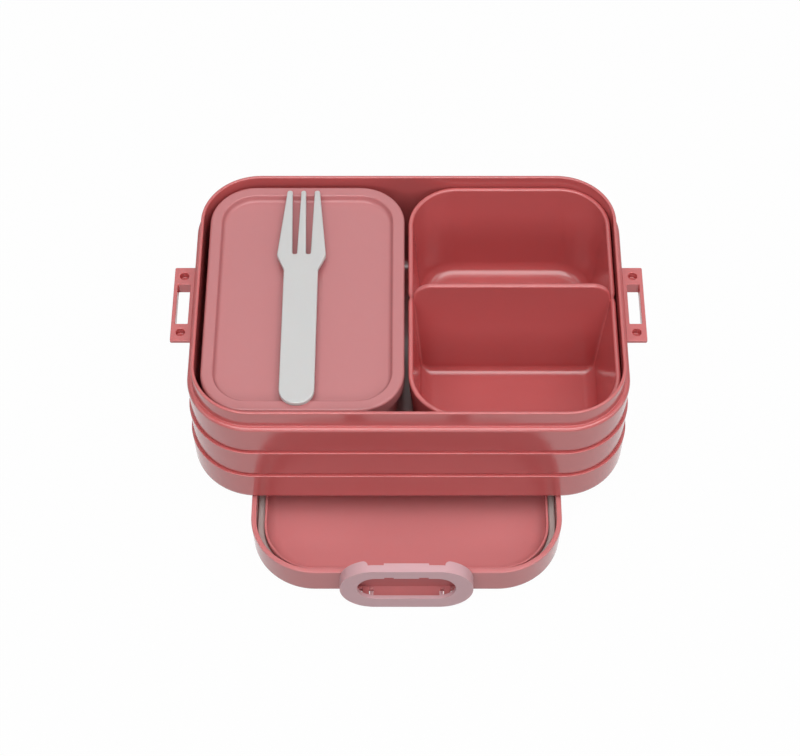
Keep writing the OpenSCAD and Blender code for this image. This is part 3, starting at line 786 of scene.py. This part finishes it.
class Recipe:
    """The node tree of a material or of the world."""

    def __init__(self, owner):
        self.owner = owner
        owner.use_nodes = True
        self.tree = owner.node_tree
        self.tree.nodes.clear()

    def node(self, kind, settings=None, inputs=None, output=0):
        """Adds a node: its settings first, then values or links of its sockets,
        and returns one of its outputs."""
        made = self.tree.nodes.new(kind)
        for key, value in (settings or {}).items():
            setattr(made, key, value)
        for key, value in (inputs or {}).items():
            if isinstance(value, Flow):
                self.tree.links.new(value.socket, made.inputs[key])
            else:
                made.inputs[key].default_value = value
        return None if output is None else Flow(self, made.outputs[output])

    def noise(self, where, scale, detail=2.0, roughness=0.5):
        """Soft noise from 0 to 1 with that many waves to the metre."""
        return self.node("ShaderNodeTexNoise", None, {
            "Vector": where, "Scale": scale, "Detail": detail,
            "Roughness": roughness})

    def place(self):
        """The point's own place on the piece."""
        return self.node("ShaderNodeTexCoord", None, None, "Object")

    def ray(self, kind):
        """1 on rays of one kind, such as Camera or Glossy, and 0 on others."""
        return self.node("ShaderNodeLightPath", None, None, f"Is {kind} Ray")

    def mix(self, factor, first, second):
        """Blends two colours."""
        return self.node(
            "ShaderNodeMix", {"data_type": "RGBA"},
            {0: factor, 6: (*first, 1.0), 7: (*second, 1.0)}, 2)

    def bump(self, height, strength, distance):
        """Normal of a fine relief."""
        return self.node("ShaderNodeBump", None, {
            "Height": height, "Strength": strength, "Distance": distance})

    def surface(self, shader):
        """Sends a shader to the material's output and returns the material."""
        self.node("ShaderNodeOutputMaterial", None, {"Surface": shader}, None)
        return self.owner


def moulded(name, light, deep, roughness, grain, soft, shine):
    """Moulded plastic: slow streaks between two tones along the flow of the
    melt, roughness that wanders a little, and the mould's fine grain."""
    r = Recipe(bpy.data.materials.new(name))
    where = r.place()
    stretched = r.node("ShaderNodeMapping", None, {
        "Vector": where, "Scale": (1.0, 1.0, 0.35)})
    streaks = r.noise(stretched, 34.0, detail=3.0, roughness=0.55)
    cloud = r.noise(where, 9.0)
    fine = r.noise(where, 5200.0, detail=1.0)
    waves = r.noise(where, 160.0)
    tone = streaks * 0.6 + cloud * 0.4
    shader = r.node("ShaderNodeBsdfPrincipled", None, {
        "Base Color": r.mix(tone, deep, light),
        "Roughness": roughness + (waves - 0.5) * 0.05 + (fine - 0.5) * grain,
        "Subsurface Weight": soft,
        "Subsurface Radius": (1.0, 0.25, 0.2),
        "Subsurface Scale": 1.2 * MM,
        "IOR": PLASTIC_IOR,
        "Specular IOR Level": shine,
        "Normal": r.bump(fine * grain + waves * 0.2, 0.10, 0.02 * MM),
    })
    return r.surface(shader)


def rubber(name, tone):
    """Soft matt rubber with a dusty bloom and a fine grain."""
    r = Recipe(bpy.data.materials.new(name))
    where = r.place()
    bloom = r.noise(where, 60.0, detail=3.0, roughness=0.6)
    grain = r.noise(where, 4200.0, roughness=0.6)
    dark = tuple(0.8 * c for c in tone)
    shader = r.node("ShaderNodeBsdfPrincipled", None, {
        "Base Color": r.mix(bloom, dark, tone),
        "Roughness": 0.55 + grain * 0.15,
        "Specular IOR Level": 0.35,
        "Normal": r.bump(grain, 0.2, 0.03 * MM),
    })
    return r.surface(shader)


def paper_floor(name):
    """White paper: faint fibres, and plain white where the camera or a mirror
    sees it lit, while it still takes the object's shadow."""
    r = Recipe(bpy.data.materials.new(name))
    fibres = r.noise(r.place(), 900.0, detail=3.0, roughness=0.6)
    matt = r.node("ShaderNodeBsdfPrincipled", None, {
        "Base Color": r.mix(fibres, (0.28, 0.28, 0.28), (0.31, 0.31, 0.31)),
        "Roughness": 0.9,
        "Specular IOR Level": 0.2,
    })
    glow = r.node("ShaderNodeEmission", None, {
        "Color": WHITE, "Strength": PAPER_GLOW})
    seen = r.ray("Camera") + r.ray("Glossy") + r.ray("Transmission")
    both = r.node("ShaderNodeMixShader", None, {
        0: seen * PAPER_SEEN, 1: matt, 2: glow})
    return r.surface(both)


FINISH = {}     # each finish's material, which the first operator fills in


# ---- operators --------------------------------------------------------------


class LUNCHBOX_OT_finishes(Operator):
    """Makes the plastics and the rubber"""

    bl_idname = "lunchbox.finishes"
    bl_label = "Finishes"

    def execute(self, context):
        f = context.scene.lunchbox_finishes
        for finish, name, roughness, grain, soft, shine in (
            ("rose", "rose_plastic", f.gloss, 0.05, 0.12, f.shine),
            ("lid", "lid_rose_plastic", f.gloss, 0.05, 0.12, LID_SHINE * f.shine),
            ("inner", "inner_rose_plastic", f.gloss + 0.1, 0.08, 0.12, PLAIN_SHINE),
            ("blush", "blush_plastic", f.satin, 0.1, 0.1, PLAIN_SHINE),
            ("ivory", "ivory_plastic", f.satin, 0.1, 0.1, PLAIN_SHINE),
        ):
            light, deep = getattr(f, finish), getattr(f, f"{finish}_deep")
            FINISH[finish] = moulded(
                name, tuple(light), tuple(deep), roughness, grain, soft, shine)
        FINISH["seal"] = rubber("seal_rubber", tuple(f.seal))
        return {"FINISHED"}


class LUNCHBOX_OT_base(Operator):
    """Builds the base box with its bands, rim and ears"""

    bl_idname = "lunchbox.base"
    bl_label = "Base box"

    def execute(self, context):
        s, ear = context.scene.lunchbox_base, context.scene.lunchbox_ears
        low, span, middle = spans("base_box")
        length = span[0] - 2 * ear.out
        width = span[1] - 4 * (s.band_step - s.band_lean)
        height = span[2]
        outline = rounded(length, width, s.corner_r, 24, 24)
        shell = Shell()
        shell.tub(carry(base_wall(s, height), outline))
        for turn in (1, -1):
            side = ear_shell(ear, length, height - s.rim_h - ear.drop)
            side.moved(lambda p, turn=turn: p * [turn, turn, 1])
            shell.join(side)
        shell.moved(lambda p: p + [middle[0], middle[1], low[2]])
        piece = shell.piece("base_body", FINISH["rose"])
        stand_for(piece, "base_box", "base")
        return {"FINISHED"}


class LUNCHBOX_OT_lid(Operator):
    """Builds the upturned main lid with its hinge arms, and the seal"""

    bl_idname = "lunchbox.lid"
    bl_label = "Main lid and seal"

    def execute(self, context):
        s = context.scene.lunchbox_lid
        radius = context.scene.lunchbox_base.corner_r + s.over
        seal_low, seal_span, _ = spans("lid_seal")
        _, lid_span, middle = spans("main_lid")
        width = lid_span[0]
        length = seal_span[1] + 2 * (s.skirt_t + s.seal_gap)
        outline = rounded(width, length, radius, 24, 24)
        profile = lid_wall(s, lid_span[2], seal_low[2] + seal_span[2], seal_span[2])
        shell = Shell()
        shell.tub(carry(profile, outline))
        pin_y = lid_span[1] / 2 - s.arm_r
        for turn in (1, -1):
            for side in (1, -1):
                arm = arm_shell(s, pin_y, length / 2)
                x = side * s.arm_x
                arm.moved(lambda p, x=x, turn=turn: (p + [x, 0, 0]) * [turn, turn, 1])
                shell.join(arm)
            tongue = tongue_shell(s, pin_y, length / 2)
            tongue.moved(lambda p, turn=turn: p * [turn, turn, 1])
            shell.join(tongue)
        shell.moved(lambda p: p + [middle[0], 0, 0])
        piece = shell.piece("lid_body", FINISH["lid"])
        stand_for(piece, "main_lid", "lid")

        ring = Shell()
        ring.grid(carry(seal_ring(s, seal_low[2], seal_span[2]), outline), closed=True)
        ring.moved(lambda p: p + [middle[0], 0, 0])
        piece = ring.piece("lid_seal_ring", FINISH["seal"])
        stand_for(piece, "lid_seal", "lid")
        return {"FINISHED"}


class LUNCHBOX_OT_clips(Operator):
    """Builds the two ring clips"""

    bl_idname = "lunchbox.clips"
    bl_label = "Clips"

    def execute(self, context):
        edge = context.scene.lunchbox_clips.edge_r
        for place_name in ("front", "back"):
            node = f"clip_{place_name}"
            piece = smooth_copy(node, f"{node}_body", FINISH["blush"], edge)
            stand_for(piece, node, f"{place_name}_clip")
        return {"FINISHED"}


class LUNCHBOX_OT_small_box(Operator):
    """Builds the small box and its lid"""

    bl_idname = "lunchbox.small_box"
    bl_label = "Small box and lid"

    def execute(self, context):
        s = context.scene.lunchbox_box
        low, span, middle = spans("small_box")
        inset = s.skirt_t + s.gap
        profile = tub_wall(span[2], s.wall_t, s.floor_t, s.draft, s.fillet_r)
        outline = rounded(span[0], span[1], s.corner_r - inset, 20, 12)
        shell = Shell()
        shell.tub(carry(profile, outline))
        shell.moved(lambda p: p + [middle[0], middle[1], low[2]])
        piece = shell.piece("small_box_body", FINISH["inner"])
        stand_for(piece, "small_box", "small_box")

        low, span, middle = spans("small_box_lid")
        outline = rounded(span[0], span[1], s.corner_r, 24, 12)
        cap = Shell()
        cap.tub(carry(cap_wall(s), outline))
        cap.moved(lambda p: p + [middle[0], middle[1], low[2] + span[2]])
        piece = cap.piece("small_box_cover", FINISH["inner"])
        stand_for(piece, "small_box_lid", "small_lid")
        return {"FINISHED"}


class LUNCHBOX_OT_tray(Operator):
    """Builds the divided tray"""

    bl_idname = "lunchbox.tray"
    bl_label = "Divided tray"

    def execute(self, context):
        s = context.scene.lunchbox_tray
        low, span, middle = spans("divided_tray")
        height = span[2] - s.divider_rise
        profile = tub_wall(height, s.wall_t, s.floor_t, s.draft, s.fillet_r)
        outline = rounded(span[0], span[1], s.corner_r, 24, 96)
        rows = carry(profile, outline)
        outside = (profile[:, 0] > -s.wall_t / 2) & (profile[:, 1] > s.fillet_r)
        crease_y = s.divider_y + s.divider_t / 2
        near = 1 - np.abs(rows[..., 1] - crease_y) / (s.crease_l / 2)
        dent = s.crease_d * np.clip(near, 0, 1) * outside[:, None]
        rows[..., :2] -= dent[..., None] * outline[1]
        shell = Shell()
        shell.tub(rows)
        shell.join(divider_shell(s, span[0], height))
        for side in (1, -1):
            shell.join(cove_shell(s, span[0], height, side))
        shell.moved(lambda p: p + [middle[0], middle[1], low[2]])
        piece = shell.piece("tray_body", FINISH["rose"])
        stand_for(piece, "divided_tray", "tray")
        return {"FINISHED"}


class LUNCHBOX_OT_fork(Operator):
    """Builds the fork"""

    bl_idname = "lunchbox.fork"
    bl_label = "Fork"

    def execute(self, context):
        s = context.scene.lunchbox_fork
        low, span, middle = spans("fork")
        loop = fork_loop(s, span[1], span[0])
        shell = Shell()
        shell.slab(with_outward(loop), [], 0, span[2], s.edge_r)
        shell.moved(lambda p: p + [middle[0], low[1], low[2]])
        piece = shell.piece("fork_body", FINISH["ivory"])
        stand_for(piece, "fork", "fork")
        return {"FINISHED"}


def lamp(name, where, target, width, height, watts):
    """A soft rectangular lamp that points at a target."""
    data = bpy.data.lights.new(name, "AREA")
    data.shape = "RECTANGLE"
    data.size, data.size_y = width, height
    data.energy = watts
    made = bpy.data.objects.new(name, data)
    made.location = where
    beam = Vector(target) - Vector(where)
    made.rotation_euler = beam.to_track_quat("-Z", "Y").to_euler()
    bpy.context.scene.collection.objects.link(made)


def white_world(strength, mirrored):
    """White all round: plain white where it is seen, that strength as light, and
    in mirrors a share of the way from the one to the other."""
    world = bpy.data.worlds.new("studio")
    bpy.context.scene.world = world
    r = Recipe(world)
    dim = r.node("ShaderNodeBackground", None, {"Color": WHITE, "Strength": strength})
    plain = r.node("ShaderNodeBackground", None, {"Color": WHITE, "Strength": 1.0})
    seen = r.ray("Camera") + r.ray("Transmission") + r.ray("Glossy") * mirrored
    both = r.node("ShaderNodeMixShader", None, {0: seen, 1: dim, 2: plain})
    r.node("ShaderNodeOutputWorld", None, {"Surface": both}, None)


class LUNCHBOX_OT_stage(Operator):
    """Sets the floor, the lights and the camera"""

    bl_idname = "lunchbox.stage"
    bl_label = "Stage"

    def execute(self, context):
        s = context.scene.lunchbox_stage
        across = 2 * FLOOR_REACH
        corners = rounded(across, across, FLOOR_REACH / 2, 12, 4)[0]
        shell = Shell()
        shell.fill(np.column_stack([corners, np.full(len(corners), -FLOOR_DROP)]))
        floor = shell.piece("studio_floor", paper_floor("white_paper"))

        white_world(s.world, s.mirrored)
        for name, (where, target, width, height) in LAMPS.items():
            lamp(name, where, target, width, height, getattr(s, name))

        target = Vector((0.0, s.target_y, s.target_z))
        back = Vector((0.0, -math.cos(s.elevation), math.sin(s.elevation)))
        data = bpy.data.cameras.new("camera")
        data.sensor_width = 36.0
        data.lens = s.lens
        data.shift_x = s.shift
        data.clip_start, data.clip_end = 0.05, 20.0
        camera = bpy.data.objects.new("camera", data)
        camera.location = target + back * s.distance
        camera.rotation_euler = (math.pi / 2 - s.elevation, 0.0, 0.0)
        context.scene.collection.objects.link(camera)
        context.scene.camera = camera
        context.scene.view_settings.view_transform = "Standard"
        return {"FINISHED"}


class LUNCHBOX_PT_panel(Panel):
    """Lists the steps that build the lunch box"""

    bl_label = "Lunch box"
    bl_idname = "LUNCHBOX_PT_panel"
    bl_space_type = "VIEW_3D"
    bl_region_type = "UI"
    bl_category = "Lunch box"

    def draw(self, context):
        for step in STEPS:
            self.layout.operator(step.bl_idname)


STEPS = (
    LUNCHBOX_OT_finishes,
    LUNCHBOX_OT_base,
    LUNCHBOX_OT_lid,
    LUNCHBOX_OT_clips,
    LUNCHBOX_OT_small_box,
    LUNCHBOX_OT_tray,
    LUNCHBOX_OT_fork,
    LUNCHBOX_OT_stage,
)
GROUPS = {
    "lunchbox_base": BaseSizes,
    "lunchbox_ears": EarSizes,
    "lunchbox_lid": LidSizes,
    "lunchbox_clips": ClipSizes,
    "lunchbox_box": BoxSizes,
    "lunchbox_tray": TraySizes,
    "lunchbox_fork": ForkSizes,
    "lunchbox_finishes": Finishes,
    "lunchbox_stage": StageSettings,
}


def register():
    for name, group in GROUPS.items():
        bpy.utils.register_class(group)
        setattr(bpy.types.Scene, name, PointerProperty(type=group))
    for made in (*STEPS, LUNCHBOX_PT_panel):
        bpy.utils.register_class(made)


def unregister():
    for made in (LUNCHBOX_PT_panel, *reversed(STEPS)):
        bpy.utils.unregister_class(made)
    for name, group in reversed(GROUPS.items()):
        delattr(bpy.types.Scene, name)
        bpy.utils.unregister_class(group)


def main():
    register()
    bpy.ops.lunchbox.finishes()
    bpy.ops.lunchbox.base()
    bpy.ops.lunchbox.lid()
    bpy.ops.lunchbox.clips()
    bpy.ops.lunchbox.small_box()
    bpy.ops.lunchbox.tray()
    bpy.ops.lunchbox.fork()
    bpy.ops.lunchbox.stage()


if __name__ == "__main__":
    main()
